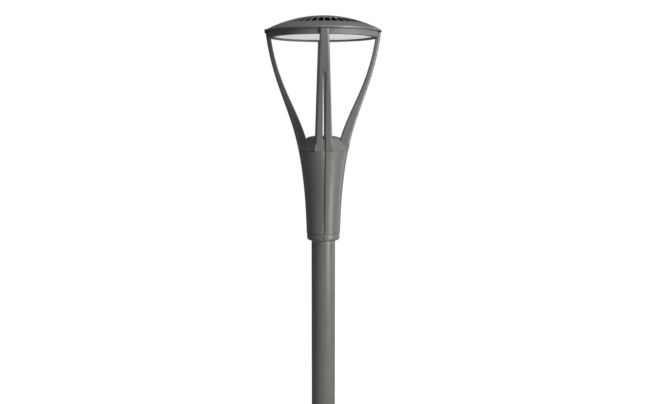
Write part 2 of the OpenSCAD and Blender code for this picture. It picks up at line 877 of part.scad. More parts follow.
module rim_band() {
    color("gray") up() difference() {
        union() {
            rotate_extrude() polygon([[lip_in, rim_z], [rim_r, rim_z], [rim_r, rim_top],
                [rim_in, rim_top], [rim_in, lip_top], [lip_in, lip_top]]);
            for (a = boss_angles) {
                rotate(a) translate([boss_at, 0, lip_top - 1])
                    cylinder(r = boss_r, h = rim_top - lip_top + 1);
            }
        }
        for (a = boss_angles) {
            rotate(a) translate([boss_at, 0, rim_top - 13]) cylinder(r = 2 + run_fit, h = 20);
        }
        for (a = clamp_angles) {
            rotate(a) translate([clamp_at, 0, rim_z + 1.5]) cylinder(r = 2 + run_fit, h = lip_t);
        }
        for (a = [0:90:270], s = [-tip_bolt_s, tip_bolt_s]) {
            rotate(a) translate([0, s, tip_bolt_z]) outward(2.5 + slip_fit, rim_in - 5, 20);
        }
        rotate(90) translate([0, 0, pass_z]) outward(channel_r, rim_in - 5, 20);
    }
}

module arm_tip_bolts() {
    color("silver") up() for (a = [0:90:270], s = [-tip_bolt_s, tip_bolt_s]) {
        rotate(a) translate([rim_in - 0.5, s, tip_bolt_z]) rotate([0, -90, 0]) screw(3.8, 3, 2.5, 13.5);
    }
}

module lens() {
    color("white") up() translate([0, 0, lens_z]) cylinder(r = lens_r, h = lens_t);
}

module lens_gasket() {
    color("black") up() translate([0, 0, lip_top + 0.05]) ring(lens_r, lip_in + 1, 0.9);
}

module lens_clamp() {
    low = lip_top + 0.2;
    step = lens_z + lens_t + 0.2;
    color("silver") up() difference() {
        rotate_extrude() polygon([[lens_r + 1.3, low], [rim_in - 1, low], [rim_in - 1, clamp_top],
            [lip_in + 3, clamp_top], [lip_in + 3, step], [lens_r + 1.3, step]]);
        for (a = boss_angles) {
            rotate(a) translate([boss_at, 0, lip_top - 1]) cylinder(r = boss_r + 0.6, h = 20);
        }
        for (a = clamp_angles) {
            rotate(a) translate([clamp_at, 0, lip_top - 1]) cylinder(r = 2 + slip_fit, h = 20);
        }
    }
}

module clamp_screws() {
    color("silver") up() for (a = clamp_angles) {
        rotate(a) translate([clamp_at, 0, clamp_top]) screw(3.5, 2.5, 2, clamp_top - rim_z - 3);
    }
}

module reflector() {
    color("white") up() rotate_extrude() polygon([[lip_in + 7, clamp_top], [lip_in + 7, clamp_top + 1.2],
        [lip_in + 0.5, clamp_top + 1.2], [board_r + 3.8, board_z + 1.5], [board_r + 2.5, board_z + 1.5],
        [lip_in - 1.5, clamp_top]]);
}

module led_board() {
    color("seagreen") up() translate([0, 0, board_z]) cylinder(r = board_r, h = board_t);
}

// Places a child at each light source, on the board's underside
module each_led() {
    for (k = [1:led_rings]) {
        for (i = [0:led_first * k - 1]) {
            rotate(i * 360 / (led_first * k)) translate([k * led_pitch, 0, board_z]) children();
        }
    }
}

module led_chips() {
    color("gold") up() each_led() translate([-2.5, -2.5, -chip_t]) cube([5, 5, chip_t]);
}

module led_lenses() {
    color("lightcyan") up() each_led() difference() {
        intersection() {
            sphere(r = 8, $fn = 32);
            translate([-9, -9, -9]) cube([18, 18, 9]);
        }
        translate([-3, -3, -chip_t - 0.3]) cube([6, 6, chip_t + 1]);
    }
}

module board_connector() {
    color("white") up() rotate(90) translate([board_r + 1.5, -5, sink_z - 6]) cube([9.7, 10, 5.5]);
}

module heat_sink() {
    color("dimgray") up() difference() {
        union() {
            translate([0, 0, sink_z]) cylinder(r = rim_r - 2, h = sink_t);
            translate([0, 0, board_z + board_t]) cylinder(r = board_r + 1, h = sink_z - board_z);
            translate([0, 0, sink_z]) cylinder(r = fin_r0 + 4, h = dome_at(fin_r0, sink_gap) - sink_z - 2);
            for (i = [0:fins - 1]) {
                rotate([90, 0, i * 360 / fins]) translate([0, 0, -fin_t / 2]) linear_extrude(fin_t)
                    polygon(concat([[fin_r0, sink_z + 1]],
                        [for (r = [fin_r0:(fin_r1 - fin_r0) / 4:fin_r1 + 0.1]) [r, dome_at(r, sink_gap)]],
                        [[fin_r1, sink_z + 1]]));
            }
        }
        for (a = boss_angles) {
            rotate(a) translate([boss_at, 0, sink_z - 1]) cylinder(r = 2 + slip_fit, h = sink_t + 2);
        }
    }
}

module heat_sink_screws() {
    color("silver") up() for (a = boss_angles) {
        rotate(a) translate([boss_at, 0, sink_z + sink_t]) screw(3.6, 2.2, 2, 16);
    }
}

module head_gasket() {
    color("black") up() translate([0, 0, rim_top + 0.05]) ring(rim_r - 1.5, rim_in + 0.5, 0.9);
}

module head_cable() {
    color("black") up() rotate(90) cable_tube(cable_route, cable_r, 10);
}

// ---- Canopy ----

// Section of the canopy's shell, from its flat crown to the edge
module canopy_section() {
    step = canopy_r / dome_steps;
    inner_r = sqrt(pow(dome_r - canopy_wall, 2) - pow(canopy_z - dome_z, 2));
    polygon(concat(
        [[0, dome_top], [crown_r, dome_top]],
        [for (k = [1:dome_steps]) [k * step, dome_at(k * step, 0)]],
        [[canopy_r, canopy_z]],
        [for (k = [dome_steps:-1:1]) let (r = inner_r * k / dome_steps) [r, dome_at(r, canopy_wall)]],
        [[crown_r, dome_top - canopy_wall], [0, dome_top - canopy_wall]]));
}

module canopy() {
    half_step = tan(180 / vents);
    h0 = vent_r0 * half_step - vent_bar / 2;
    h1 = vent_r1 * half_step - vent_bar / 2;
    tab_r0 = rim_r + 1;
    tab_r1 = canopy_r - 2;
    color("gray") up() difference() {
        union() {
            rotate_extrude() canopy_section();
            rotate([90, 0, 0]) translate([0, 0, -tab_w / 2]) linear_extrude(tab_w)
                polygon([[tab_r0, head_z - tab_t], [tab_r1, head_z - tab_t],
                    [tab_r1, dome_at(tab_r1, 1)], [tab_r0, dome_at(tab_r0, 1)]]);
        }
        translate([-far, -notch_y, 0]) cube([far - notch_x, 2 * notch_y, far]);
        translate([lock_x, 0, 0]) cylinder(r = pin_r + run_fit, h = far);
        translate([lock_x, 0, head_z]) cylinder(r = head_r + 0.4, h = far);
        for (i = [0:vents - 1]) {
            rotate((i + 0.5) * 360 / vents) translate([0, 0, canopy_z + 8]) linear_extrude(dome_h)
                polygon([[vent_r0, -h0], [vent_r1, -h1], [vent_r1, h1], [vent_r0, h0]]);
        }
    }
}

module hinge_line() {
    translate([-hinge_x, 0, hinge_z]) rotate([90, 0, 0]) children();
}

module hinge_bracket() {
    low = -knuckle_y - 0.3 - knuckle_t;
    color("black") up() difference() {
        union() {
            for (y = [low, knuckle_y + 0.3]) {
                hinge_line() translate([0, 0, y]) cylinder(r = barrel_r, h = knuckle_t);
                translate([1 - side_r, y, tip_z]) cube([2 * barrel_r - 2, knuckle_t, hinge_z - tip_z]);
            }
        }
        hinge_line() cylinder(r = pin_r + run_fit, h = 60, center = true);
    }
}

module canopy_hinge_leaf() {
    top = dome_at(notch_x, canopy_wall) - seat_gap;
    color("black") up() difference() {
        union() {
            hinge_line() cylinder(r = barrel_r, h = 2 * knuckle_y, center = true);
            translate([-hinge_x, -knuckle_y, top - leaf_t])
                cube([hinge_x - notch_x + 14, 2 * knuckle_y, leaf_t]);
        }
        hinge_line() cylinder(r = pin_r + run_fit, h = 60, center = true);
    }
}

module hinge_pin() {
    reach = knuckle_y + knuckle_t + 0.3;
    color("silver") up() hinge_line() {
        cylinder(r = pin_r, h = 2 * reach + 0.4, center = true);
        for (k = [-1, 1]) {
            translate([0, 0, k * (reach + 0.7)]) cylinder(r = pin_r + 1, h = 1, center = true);
        }
    }
}

module latch_block() {
    color("dimgray") up() difference() {
        translate([rim_r + 1, -tab_w / 2, tip_z])
            cube([arm_tip_r - rim_r - 2, tab_w, head_z - tab_t - tip_z - 0.5]);
        translate([lock_x, 0, tip_z + 0.6]) cylinder(r = pin_r + 0.9, h = 20);
    }
}

module canopy_lock() {
    color("black") up() translate([lock_x, 0, head_z + 0.2]) difference() {
        screw(head_r, 2.6, pin_r, head_z - tip_z - 1.2);
        translate([-0.6, -6, 1.6]) cube([1.2, 12, 3]);
    }
}

base_plate();
foot_weld();
pole_base();
pole_tube();
spigot_adaptor();
door_frame();
pole_door();
door_hinge_knuckles();
door_hinge_pins();
pole_door_lock();
equipment_rail();
fuse_box();
breaker();
breaker_toggle();
terminal_block();
earth_stud();
pole_cable();
gear_frame();
gear_keeper();
collar_ring();
grub_screws();
panel_rear_left();
panel_front_left();
panel_front_right();
gear_door();
gear_door_pin();
gear_door_lock();
panel_screws();
gear_tray();
led_driver();
surge_protector();
tray_screws();
hub_casting();
arm_front();
arm_right();
arm_rear();
arm_left();
arm_foot_bolts();
hub_bolts();
rim_band();
arm_tip_bolts();
lens();
lens_gasket();
lens_clamp();
clamp_screws();
reflector();
led_board();
led_chips();
led_lenses();
board_connector();
heat_sink();
heat_sink_screws();
head_gasket();
head_cable();
canopy();
hinge_bracket();
canopy_hinge_leaf();
hinge_pin();
latch_block();
canopy_lock();
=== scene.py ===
import math

import bpy
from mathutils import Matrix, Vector


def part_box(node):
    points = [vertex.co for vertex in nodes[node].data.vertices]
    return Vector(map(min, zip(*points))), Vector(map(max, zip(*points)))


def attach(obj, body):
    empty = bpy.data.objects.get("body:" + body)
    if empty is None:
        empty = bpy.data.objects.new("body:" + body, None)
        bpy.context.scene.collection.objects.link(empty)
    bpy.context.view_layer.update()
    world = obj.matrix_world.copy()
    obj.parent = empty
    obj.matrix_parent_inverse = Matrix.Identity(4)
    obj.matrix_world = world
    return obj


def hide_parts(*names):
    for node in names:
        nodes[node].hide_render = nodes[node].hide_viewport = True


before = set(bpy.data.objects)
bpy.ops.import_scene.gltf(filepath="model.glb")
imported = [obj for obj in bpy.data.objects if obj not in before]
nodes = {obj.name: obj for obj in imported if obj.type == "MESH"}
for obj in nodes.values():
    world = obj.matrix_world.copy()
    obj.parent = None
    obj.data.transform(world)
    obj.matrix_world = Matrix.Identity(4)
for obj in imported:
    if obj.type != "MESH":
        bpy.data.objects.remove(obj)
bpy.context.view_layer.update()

bpy.context.scene.view_settings.view_transform = "Standard"


def low(node):
    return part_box(node)[0]


def high(node):
    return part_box(node)[1]


# ---------------------------------------------------------------- sizes, in metres

ground = 0.0
plate_half = high("base_plate").x
plate_top = high("base_plate").z
pole_r = high("pole_tube").x
pole_wall = 0.0036
door_half = 0.0375
door_z = 0.52
door_h = 0.32
door_round = 0.012
anchor_at = 0.1
anchor_hole_r = 0.011
cable_hole_r = 0.030
pole_top = high("pole_tube").z
collar_z = low("collar_ring").z
collar_top = low("panel_front_left").z - 0.001
housing_z = low("panel_front_left").z
housing_top = high("panel_front_left").z
housing_r = 0.0805
groove_half = 0.0065
groove_slope = 0.0043
panel_wall = 0.0088
foot_z = low("arm_front").z
tip_z = high("arm_front").z
tip_r = -low("arm_front").y
foot_r = 0.1183
band_r = high("rim_band").x
band_z = low("rim_band").z
band_top = high("rim_band").z
band_in = band_r - 0.004
lip_in = band_r - 0.023
lip_top = band_z + 0.008
canopy_r = high("canopy").y
canopy_z = band_top + 0.0015
dome_top = high("canopy").z


# ---------------------------------------------------------------- modelling helpers

def pick_nothing():
    if bpy.context.object and bpy.context.object.mode == "EDIT":
        bpy.ops.object.mode_set(mode="OBJECT")
    bpy.ops.object.select_all(action="DESELECT")


def pick_piece(piece):
    pick_nothing()
    piece.select_set(True)
    bpy.context.view_layer.objects.active = piece


def edit(piece):
    pick_piece(piece)
    bpy.ops.object.mode_set(mode="EDIT")


def edit_done():
    bpy.ops.object.mode_set(mode="OBJECT")


def pick_edges(piece, test):
    """Selects, in edit mode, the edges whose two ends pass the test."""
    bpy.ops.mesh.select_mode(type="EDGE")
    bpy.ops.mesh.select_all(action="DESELECT")
    bpy.ops.object.mode_set(mode="OBJECT")
    points = piece.data.vertices
    for e in piece.data.edges:
        e.select = test(points[e.vertices[0]].co, points[e.vertices[1]].co)
    bpy.ops.object.mode_set(mode="EDIT")


def pick_faces(piece, test):
    """Selects, in edit mode, the faces whose centre and normal pass the test."""
    bpy.ops.mesh.select_mode(type="FACE")
    bpy.ops.mesh.select_all(action="DESELECT")
    bpy.ops.object.mode_set(mode="OBJECT")
    for f in piece.data.polygons:
        f.select = test(f.center, f.normal)
    bpy.ops.object.mode_set(mode="EDIT")


def pick_points(piece, test):
    """Selects, in edit mode, the vertices whose place passes the test."""
    bpy.ops.mesh.select_mode(type="VERT")
    bpy.ops.mesh.select_all(action="DESELECT")
    bpy.ops.object.mode_set(mode="OBJECT")
    for v in piece.data.vertices:
        v.select = test(v.co)
    bpy.ops.object.mode_set(mode="EDIT")


def outline(name, points):
    """Starts a piece as a chain of edges through points, all selected in edit mode."""
    pick_nothing()
    bpy.ops.mesh.primitive_plane_add(size=0.01, location=(0, 0, 0))
    piece = bpy.context.object
    piece.name = piece.data.name = name
    bpy.ops.object.mode_set(mode="EDIT")
    bpy.ops.mesh.select_mode(type="VERT")
    bpy.ops.mesh.select_all(action="SELECT")
    bpy.ops.mesh.merge(type="CENTER")
    bpy.ops.transform.translate(value=points[0])
    for a, b in zip(points, points[1:]):
        step = Vector(b) - Vector(a)
        bpy.ops.mesh.extrude_region_move(TRANSFORM_OT_translate={"value": step})
    bpy.ops.mesh.select_all(action="SELECT")
    return piece


def turned(name, section, steps=128):
    """A piece turned about the pole's axis from a section of (radius, height) points."""
    points = [(r, 0, z) for r, z in section]
    if section[0][0] > 0:
        points.append(points[0])
    piece = outline(name, points)
    bpy.ops.mesh.remove_doubles(threshold=1e-5)
    bpy.ops.mesh.spin(steps=steps, angle=math.tau, center=(0, 0, 0), axis=(0, 0, 1))
    bpy.ops.mesh.select_all(action="SELECT")
    bpy.ops.mesh.remove_doubles(threshold=1e-5)
    bpy.ops.mesh.normals_make_consistent(inside=False)
    edit_done()
    return piece


def slab(name, points, *steps):
    """A flat face through points, extruded by each step in turn."""
    piece = outline(name, points + points[:1])
    bpy.ops.mesh.remove_doubles(threshold=1e-6)
    bpy.ops.mesh.select_all(action="SELECT")
    bpy.ops.mesh.edge_face_add()
    for step in steps:
        bpy.ops.mesh.extrude_region_move(TRANSFORM_OT_translate={"value": step})
    bpy.ops.mesh.select_all(action="SELECT")
    bpy.ops.mesh.normals_make_consistent(inside=False)
    edit_done()
    return piece


def block(name, corner, size, rounding=0.0, rounded=None):
    """A box from its low corner; the edges that pass the test rounded are rounded off."""
    pick_nothing()
    centre = [c + s / 2 for c, s in zip(corner, size)]
    bpy.ops.mesh.primitive_cube_add(size=1, location=centre, scale=size)
    piece = bpy.context.object
    piece.name = piece.data.name = name
    bpy.ops.object.transform_apply(location=True, rotation=True, scale=True)
    if rounding:
        edit(piece)
        pick_edges(piece, rounded or (lambda a, b: True))
        bpy.ops.mesh.bevel(offset=rounding, segments=6, affect="EDGES")
        edit_done()
    return piece


def peg(name, radius, depth, location, axis=(0, 0, 1), sides=32):
    """A round peg centred at location, along axis."""
    pick_nothing()
    turn = Vector(axis).to_track_quat("Z", "Y").to_euler()
    bpy.ops.mesh.primitive_cylinder_add(vertices=sides, radius=radius, depth=depth,
                                        location=location, rotation=turn)
    piece = bpy.context.object
    piece.name = piece.data.name = name
    bpy.ops.object.transform_apply(location=True, rotation=True, scale=True)
    return piece


def apply_modifier(piece, kind, **values):
    pick_piece(piece)
    modifier = piece.modifiers.new(kind.lower(), kind)
    for key, value in values.items():
        setattr(modifier, key, value)
    bpy.ops.object.modifier_apply(modifier=modifier.name)


def cut(piece, tool, way="DIFFERENCE"):
    apply_modifier(piece, "BOOLEAN", operation=way, object=tool, solver="EXACT")
    bpy.data.objects.remove(tool)


def copy_turned(piece, name, degrees):
    """A copy with its own mesh, turned about the pole's axis."""
    new = piece.copy()
    new.data = piece.data.copy()
    new.name = new.data.name = name
    bpy.context.scene.collection.objects.link(new)
    new.rotation_euler = (0, 0, math.radians(degrees))
    pick_piece(new)
    bpy.ops.object.transform_apply(location=False, rotation=True, scale=False)
    return new


def joined(pieces):
    pick_piece(pieces[0])
    for p in pieces:
        p.select_set(True)
    bpy.ops.object.join()
    return bpy.context.object


def ring_of(piece, name, count, start=0.0):
    """Copies of one piece, evenly round the pole's axis, as one piece."""
    copies = [copy_turned(piece, name, start + i * 360 / count) for i in range(count)]
    bpy.data.objects.remove(piece)
    whole = joined(copies)
    whole.name = whole.data.name = name
    return whole


def smooth_edges(piece, width=0.0006, segments=2, sharp=38):
    """Rounds the sharp edges and evens the shading of the flat faces."""
    if width:
        apply_modifier(piece, "BEVEL", width=width, segments=segments, limit_method="ANGLE",
                       angle_limit=math.radians(sharp), use_clamp_overlap=False)
    pick_piece(piece)
    bpy.ops.object.shade_smooth_by_angle(angle=math.radians(sharp))
    apply_modifier(piece, "WEIGHTED_NORMAL", keep_sharp=True)


def mount(piece, body, slot, material, *replaced):
    """Gives a finished piece its material and fixes it to its body."""
    piece.data.materials.clear()
    piece.data.materials.append(material)
    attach(piece, body)
    if replaced:
        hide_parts(*replaced)


def coat(material, *names):
    for name in names:
        for s in nodes[name].material_slots:
            s.material = material


# ---------------------------------------------------------------- finishes

class Finish:
    """Node tree of one material, on Object coordinates."""

    def __init__(self, name):
        self.material = bpy.data.materials.new(name)
        self.material.use_nodes = True
        self.tree = self.material.node_tree
        self.tree.nodes.clear()
        self.shader = self.node("ShaderNodeBsdfPrincipled")
        out = self.node("ShaderNodeOutputMaterial")
        self.join(self.shader, "BSDF", out, "Surface")
        self.place = self.node("ShaderNodeTexCoord")

    def node(self, kind, **values):
        n = self.tree.nodes.new(kind)
        for key, value in values.items():
            setattr(n, key, value)
        return n

    def join(self, a, a_name, b, b_name):
        self.tree.links.new(a.outputs[a_name], b.inputs[b_name])

    def mapped(self, stretch):
        m = self.node("ShaderNodeMapping")
        m.inputs["Scale"].default_value = stretch
        self.join(self.place, "Object", m, "Vector")
        return m

    def noise(self, scale, detail=4, stretch=None, roughness=0.5):
        n = self.node("ShaderNodeTexNoise")
        n.inputs["Scale"].default_value = scale
        n.inputs["Detail"].default_value = detail
        n.inputs["Roughness"].default_value = roughness
        if stretch:
            self.join(self.mapped(stretch), "Vector", n, "Vector")
        else:
            self.join(self.place, "Object", n, "Vector")
        return n

    def ranged(self, source, output, from_low, from_high, to_low, to_high):
        r = self.node("ShaderNodeMapRange")
        for name, value in (("From Min", from_low), ("From Max", from_high),
                            ("To Min", to_low), ("To Max", to_high)):
            r.inputs[name].default_value = value
        self.join(source, output, r, "Value")
        return r

    def blend(self, factor, factor_output, a, b):
        """Mixes two colours, or a mixed colour and a colour, by a factor."""
        m = self.node("ShaderNodeMix", data_type="RGBA")
        self.join(factor, factor_output, m, "Factor")
        for socket, colour in ((m.inputs[6], a), (m.inputs[7], b)):
            if isinstance(colour, tuple):
                socket.default_value = (*colour, 1)
            else:
                self.tree.links.new(colour.outputs[2], socket)
        return m

    def colour(self, mixed):
        self.tree.links.new(mixed.outputs[2], self.shader.inputs["Base Color"])

    def roughness(self, source, low_value, high_value, output="Fac"):
        r = self.ranged(source, output, 0.3, 0.7, low_value, high_value)
        self.join(r, "Result", self.shader, "Roughness")

    def bump(self, source, strength, distance, output="Fac", under=None):
        b = self.node("ShaderNodeBump")
        b.inputs["Strength"].default_value = strength
        b.inputs["Distance"].default_value = distance
        self.join(source, output, b, "Height")
        if under:
            self.join(under, "Normal", b, "Normal")
        self.join(b, "Normal", self.shader, "Normal")
        return b

    def edges(self, start, end):
        """A factor that rises on the outward edges of a piece."""
        g = self.node("ShaderNodeNewGeometry")
        return self.ranged(g, "Pointiness", start, end, 0, 1)

    def fixed(self, **values):
        for key, value in values.items():
            self.shader.inputs[key.replace("_", " ")].default_value = value


def powder_coat(name, shade, rough=0.42, streaks=0.5, peel=0.12):
    """Satin powder coat: fine orange peel, faint rain streaks, dust and rubbed edges."""
    f = Finish(name)
    dark = tuple(c * 0.93 for c in shade)
    light = tuple(min(1, c * 1.05) for c in shade)
    dusty = tuple(0.75 * c + 0.25 * d for c, d in zip(shade, (0.22, 0.215, 0.195)))
    rubbed = tuple(min(1, c * 1.6 + 0.02) for c in shade)
    cloud = f.noise(3.5, 6)
    base = f.blend(f.ranged(cloud, "Fac", 0.35, 0.65, 0, 1), "Result", dark, light)
    streak = f.noise(1.0, 5, (70, 70, 2.2))
    base = f.blend(f.ranged(streak, "Fac", 0.56, 0.80, 0, streaks), "Result", base, dusty)
    speck = f.noise(420, 2)
    base = f.blend(f.ranged(speck, "Fac", 0.66, 0.78, 0, 0.18), "Result", base, dusty)
    base = f.blend(f.edges(0.535, 0.60), "Result", base, rubbed)
    f.colour(base)
    f.roughness(f.noise(28, 5), rough - 0.04, rough + 0.07)
    wave = f.bump(f.noise(55, 2), 0.05, 0.0006)
    f.bump(f.noise(650, 2), peel, 0.00018, under=wave)
    f.fixed(Specular_IOR_Level=0.5)
    return f.material


def spangled_zinc(name):
    """Hot dip zinc: grains of slightly different grey with dull patches."""
    f = Finish(name)
    grain = f.node("ShaderNodeTexVoronoi")
    grain.inputs["Scale"].default_value = 130
    f.join(f.place, "Object", grain, "Vector")
    tone = f.node("ShaderNodeSeparateColor")
    f.join(grain, "Color", tone, "Color")
    base = f.blend(tone, "Red", (0.42, 0.43, 0.44), (0.60, 0.61, 0.62))
    base = f.blend(f.ranged(f.noise(14, 6), "Fac", 0.5, 0.72, 0, 0.6), "Result",
                   base, (0.36, 0.36, 0.35))
    f.colour(base)
    f.roughness(f.noise(40, 4), 0.38, 0.6)
    f.bump(grain, 0.08, 0.0003, output="Distance")
    f.fixed(Metallic=0.85)
    return f.material


def drawn_metal(name, shade, rough=0.3, stretch=(900, 40, 40), metal=1.0):
    """Bare metal with fine lines one way and dulled patches."""
    f = Finish(name)
    lines = f.noise(1.0, 3, stretch)
    dark = tuple(c * 0.8 for c in shade)
    base = f.blend(lines, "Fac", dark, shade)
    base = f.blend(f.ranged(f.noise(60, 5), "Fac", 0.55, 0.75, 0, 0.5), "Result",
                   base, tuple(c * 0.6 for c in shade))
    f.colour(base)
    f.roughness(f.noise(90, 4), rough - 0.06, rough + 0.12)
    f.bump(lines, 0.08, 0.0002)
    f.fixed(Metallic=metal)
    return f.material


def moulded(name, shade, rough=0.45, grain=700, painted_corner_shade=0.3):
    """Moulded plastic: fine spark grain, faint flow marks and painted shade that darkens the
    corners.
    """
    f = Finish(name)
    base = f.blend(f.ranged(f.noise(18, 5), "Fac", 0.35, 0.65, 0, 1), "Result",
                   tuple(c * 0.9 for c in shade), tuple(min(1, c * 1.05) for c in shade))
    # Painted shade: concave corners, found by pointiness, are darkened as if light reached them
    # less.
    corner = f.node("ShaderNodeNewGeometry")
    base = f.blend(f.ranged(corner, "Pointiness", 0.49, 0.44, 0, painted_corner_shade), "Result",
                   base, tuple(c * 0.4 for c in shade))
    f.colour(base)
    f.roughness(f.noise(60, 4), rough - 0.05, rough + 0.08)
    f.bump(f.noise(grain, 3), 0.12, 0.0002)
    return f.material


def opal_sheet(name):
    """Opal diffuser: milky, with fine prism rows that show as a faint pattern, and a painted glow.
    """
    f = Finish(name)
    rows = f.node("ShaderNodeTexWave", wave_type="BANDS", bands_direction="X")
    rows.inputs["Scale"].default_value = 75
    rows.inputs["Distortion"].default_value = 0.6
    f.join(f.place, "Object", rows, "Vector")
    dots = f.node("ShaderNodeTexVoronoi")
    dots.inputs["Scale"].default_value = 26
    f.join(f.place, "Object", dots, "Vector")
    base = f.blend(f.ranged(dots, "Distance", 0.05, 0.6, 0, 1), "Result",
                   (0.96, 0.965, 0.945), (0.90, 0.91, 0.89))
    base = f.blend(f.ranged(rows, "Fac", 0.2, 0.9, 0, 0.35), "Result", base, (0.84, 0.85, 0.845))
    f.colour(base)
    f.roughness(f.noise(45, 4), 0.28, 0.4)
    f.bump(rows, 0.15, 0.0003, output="Fac")
    # Painted light: the emission stands in for light thrown up onto the lens from below; the lamp
    # itself is off.
    f.fixed(IOR=1.49, Subsurface_Weight=0.2, Subsurface_Scale=0.004, Emission_Strength=0.36,
            Emission_Color=(0.985, 1, 0.965, 1))
    return f.material


def clear_optic(name):
    f = Finish(name)
    base = f.blend(f.noise(120, 3), "Fac", (0.93, 0.97, 0.99), (0.98, 0.99, 1.0))
    f.colour(base)
    f.roughness(f.noise(200, 3), 0.04, 0.14)
    f.bump(f.noise(300, 2), 0.04, 0.0002)
    f.fixed(Transmission_Weight=0.8, IOR=1.49)
    return f.material


def board_mask(name):
    """White solder mask with the copper underneath showing as faint raised paths."""
    f = Finish(name)
    paths = f.node("ShaderNodeTexBrick")
    paths.inputs["Scale"].default_value = 40
    paths.inputs["Mortar Size"].default_value = 0.03
    f.join(f.place, "Object", paths, "Vector")
    base = f.blend(paths, "Fac", (0.80, 0.82, 0.79), (0.70, 0.73, 0.68))
    f.colour(base)
    f.roughness(f.noise(80, 4), 0.3, 0.45)
    f.bump(paths, 0.2, 0.0001)
    return f.material


pole_coat = powder_coat("satin_grey_pole_coat", (0.098, 0.103, 0.094), 0.29, 0.22)
housing_coat = powder_coat("satin_grey_housing_coat", (0.098, 0.103, 0.094), 0.30, 0.2)
casting_coat = powder_coat("satin_grey_casting_coat", (0.100, 0.103, 0.096), 0.38, 0.3, 0.18)
canopy_coat = powder_coat("satin_grey_canopy_coat", (0.100, 0.103, 0.096), 0.37, 0.5)
band_coat = powder_coat("satin_grey_band_coat", (0.100, 0.104, 0.096), 0.60, 0.3, 0.18)
plate_coat = powder_coat("satin_grey_plate_coat", (0.098, 0.101, 0.094), 0.5, 0.6, 0.25)
black_coat = powder_coat("matt_black_coat", (0.012, 0.012, 0.012), 0.5, 0.1)
zinc = spangled_zinc("hot_dip_zinc")
stainless = drawn_metal("stainless_steel", (0.62, 0.62, 0.63))
cast_metal = drawn_metal("die_cast_aluminium", (0.62, 0.63, 0.64), 0.5, (90, 90, 90), 0.9)
sink_metal = drawn_metal("dark_anodised_aluminium", (0.035, 0.035, 0.037), 0.5, (300, 300, 20), 0.6)
brass = drawn_metal("brass_stud", (0.72, 0.52, 0.22), 0.35, (60, 900, 60))
opal = opal_sheet("opal_diffuser")
optic = clear_optic("clear_moulded_optic")
rubber = moulded("black_rubber", (0.02, 0.02, 0.02), 0.7, 1200)
white_mould = moulded("white_moulding", (0.80, 0.81, 0.78))
grey_mould = moulded("grey_moulding", (0.42, 0.43, 0.42))
black_mould = moulded("black_moulding", (0.025, 0.025, 0.026))
red_mould = moulded("red_moulding", (0.42, 0.05, 0.03))
sheath = moulded("black_cable_sheath", (0.02, 0.02, 0.021), 0.55, 900)
reflector_white = moulded("white_reflector_coat", (0.86, 0.87, 0.85), 0.3, 400, 0.1)
phosphor = moulded("yellow_phosphor", (0.80, 0.62, 0.12), 0.4, 900, 0.05)
mask = board_mask("white_board_mask")

coat(zinc, "door_frame", "equipment_rail", "gear_tray")
coat(pole_coat, "spigot_adaptor", "pole_door", "door_hinge_knuckles")
coat(stainless, "door_hinge_pins", "pole_door_lock", "grub_screws", "gear_door_pin",
     "gear_door_lock", "panel_screws", "tray_screws", "arm_foot_bolts", "hub_bolts",
     "arm_tip_bolts", "clamp_screws", "heat_sink_screws", "hinge_pin")
coat(grey_mould, "fuse_box")
coat(white_mould, "breaker", "terminal_block", "led_driver", "board_connector")
coat(black_mould, "breaker_toggle")
coat(brass, "earth_stud")
coat(sheath, "pole_cable", "head_cable")
coat(housing_coat, "gear_frame", "gear_keeper", "gear_door")
coat(red_mould, "surge_protector")
coat(rubber, "lens_gasket", "head_gasket")
coat(cast_metal, "lens_clamp")
coat(reflector_white, "reflector")
coat(mask, "led_board")
coat(phosphor, "led_chips")
coat(optic, "led_lenses")
coat(sink_metal, "heat_sink")
coat(black_coat, "hinge_bracket", "canopy_hinge_leaf", "canopy_lock")
coat(casting_coat, "latch_block")


# ---------------------------------------------------------------- the arms

def on_curve(p, t):
    s = 1 - t
    return tuple(s ** 3 * p[0][k] + 3 * s * s * t * p[1][k] + 3 * s * t * t * p[2][k]
                 + t ** 3 * p[3][k] for k in (0, 1))


foot_in = foot_r - 0.050
tip_in = tip_r - 0.0235
arm_outer = ((foot_r, foot_z), (foot_r + 0.035, foot_z + 0.193),
             (tip_r - 0.0315, tip_z - 0.242), (tip_r, tip_z))
arm_inner = ((foot_in, foot_z), (foot_in + 0.038, foot_z + 0.187),
             (tip_in - 0.036, tip_z - 0.269), (tip_in, tip_z - 0.015))
arm_widths = ((foot_z, 0.044), (foot_z + 0.032, 0.040), (foot_z + 0.076, 0.038), (tip_z, 0.0205))
slot_low = foot_z + 0.055
slot_high = foot_z + 0.364


def radius_at(line, z):
    """Radius of an arm's outer or inner line at a height."""
    a, b = 0.0, 1.0
    for _ in range(30):
        t = (a + b) / 2
        if on_curve(line, t)[1] < z:
            a = t
        else:
            b = t
    return on_curve(line, a)[0]


def arm_blank(name, grow=0.0):
    """An arm's full body along +X, before its edges are rounded."""
    n = 32
    inside = [on_curve(arm_inner, i / n) for i in range(n + 1)] + [(tip_in + 0.002, tip_z)]
    outside = [on_curve(arm_outer, i / n) for i in range(n, -1, -1)]
    if grow:
        inside = [(r - grow, z) for r, z in inside]
        inside[0] = (inside[0][0], foot_z - grow)
        outside = [(tip_r + 0.06, tip_z), (tip_r + 0.06, foot_z - grow)]
    body = slab(name, [(r, -0.1, z) for r, z in inside + outside], (0, 0.2, 0))
    face = [(w + grow, z) for z, w in arm_widths]
    face[0] = (face[0][0], foot_z - 0.005)
    face[-1] = (face[-1][0], tip_z + 0.005)
    front = face + [(-w, z) for w, z in reversed(face)]
    cut(body, slab("arm_front_outline", [(0.03, y, z) for y, z in front], (0.34, 0, 0)),
        "INTERSECT")
    return body


